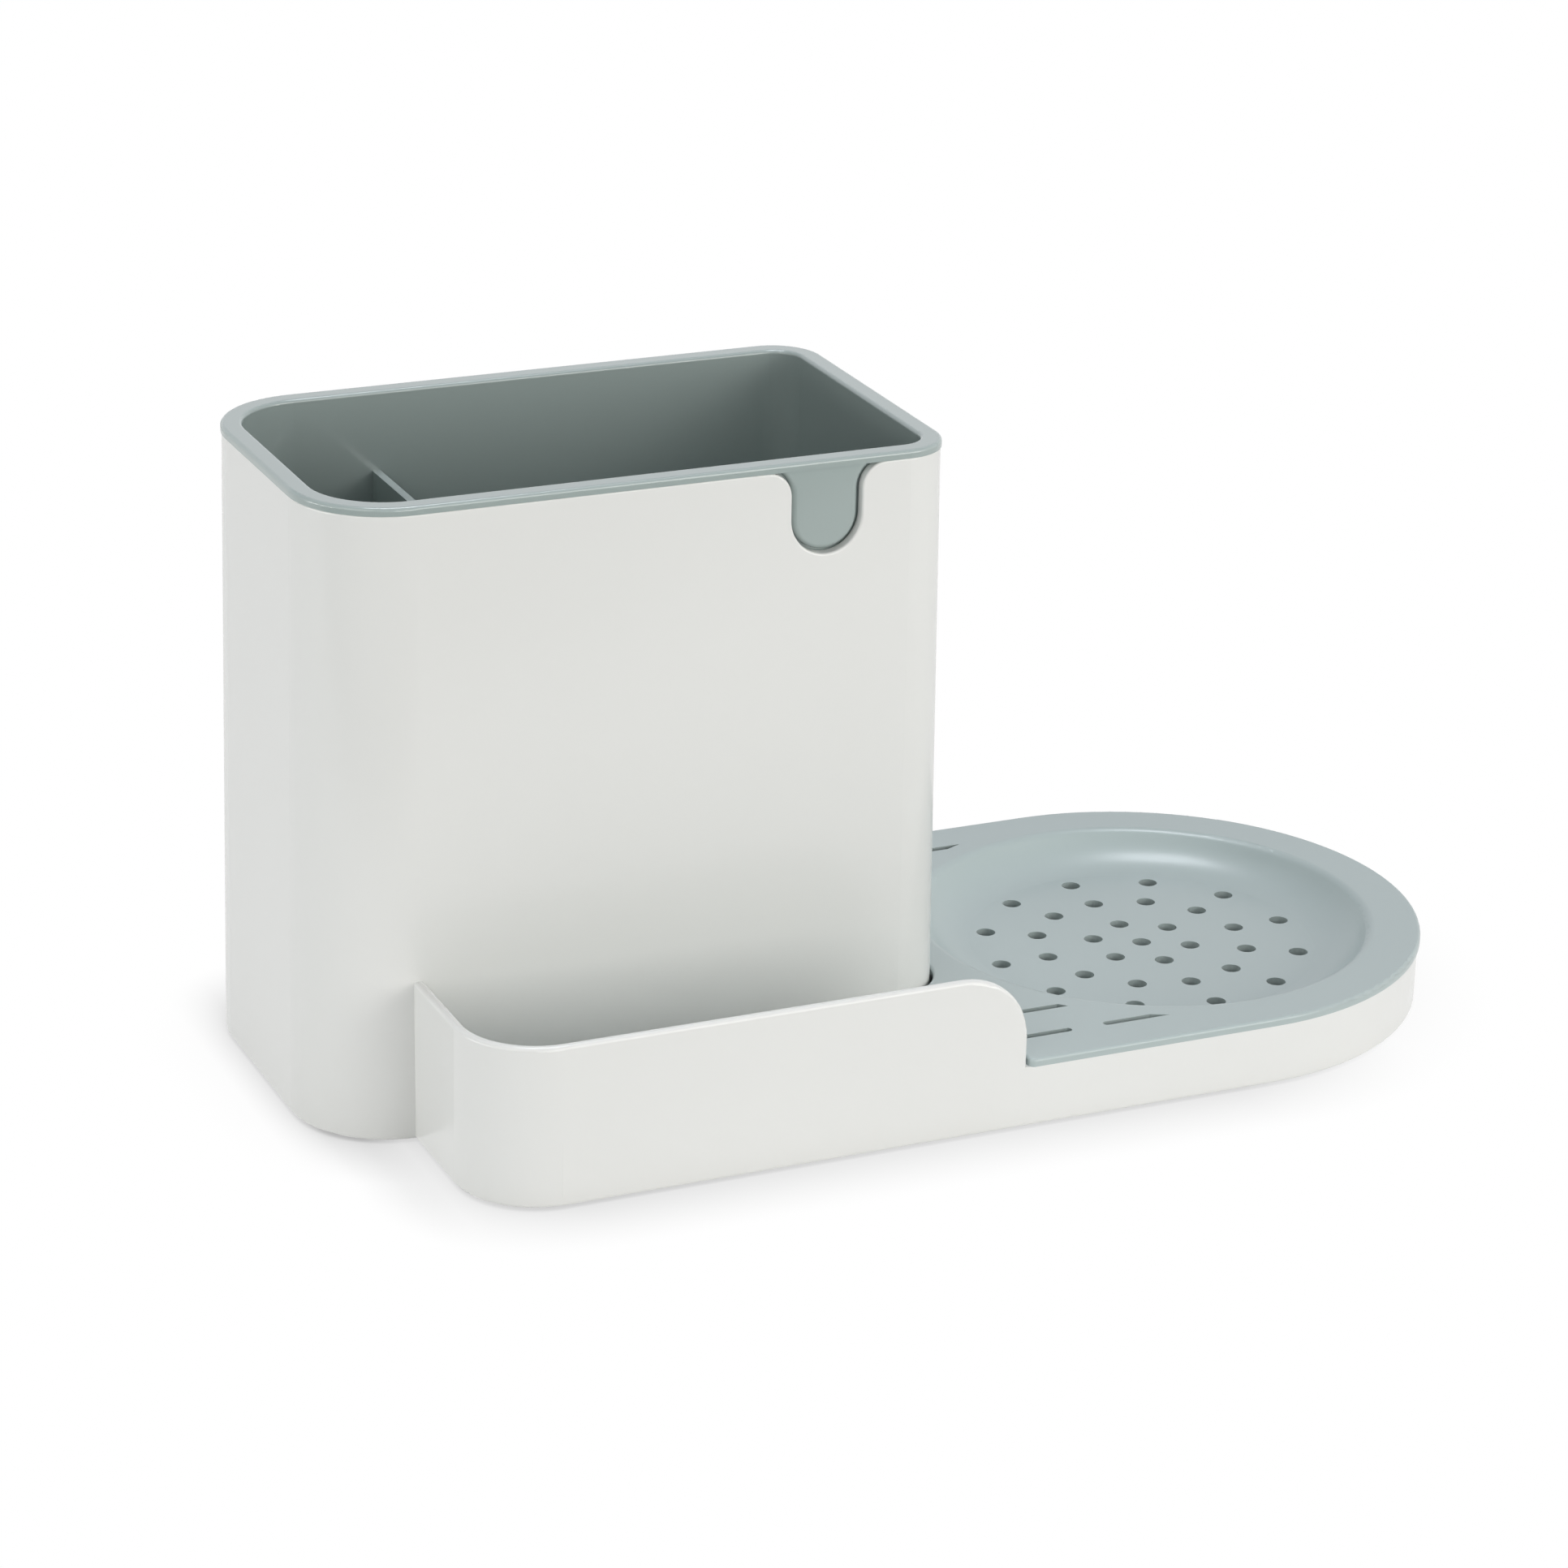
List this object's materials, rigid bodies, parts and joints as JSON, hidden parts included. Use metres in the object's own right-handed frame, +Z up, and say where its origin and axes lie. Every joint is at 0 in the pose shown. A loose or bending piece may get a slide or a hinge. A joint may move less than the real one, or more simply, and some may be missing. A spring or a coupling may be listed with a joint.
{
  "type": "kitchen sink caddy",
  "caption": "Worktop caddy with a tall box for brushes, a lift-out cup in it, a front trough and a round drip tray with drain holes over a low well.",
  "frame": {"origin": "on the worktop, under the middle of the footprint's box", "axes": "+Z up, +X towards the round end of the tray, and the trough is in front of the box towards -Y"},
  "size_m": [0.2968, 0.1419, 0.1564],
  "materials": {
    "white_plastic": "gloss white moulding",
    "blue_grey_plastic": "satin blue-grey moulding",
    "foot_rubber": "matt dark rubber"
  },
  "bodies": {
    "body": {"outer_body": "white_plastic", "foot_1": "foot_rubber", "foot_2": "foot_rubber", "foot_3": "foot_rubber", "foot_4": "foot_rubber", "foot_5": "foot_rubber", "foot_6": "foot_rubber"},
    "cup": {"inner_cup": "blue_grey_plastic"},
    "tray": {"drip_tray": "blue_grey_plastic"}
  },
  "joints": [
    {"name": "cup_lift", "type": "slide", "parent": "body", "child": "cup", "axis": [0, 0, 1], "range_m": [0, 0.16]},
    {"name": "tray_lift", "type": "slide", "parent": "body", "child": "tray", "axis": [0, 0, 1], "range_m": [0, 0.045]}
  ]
}
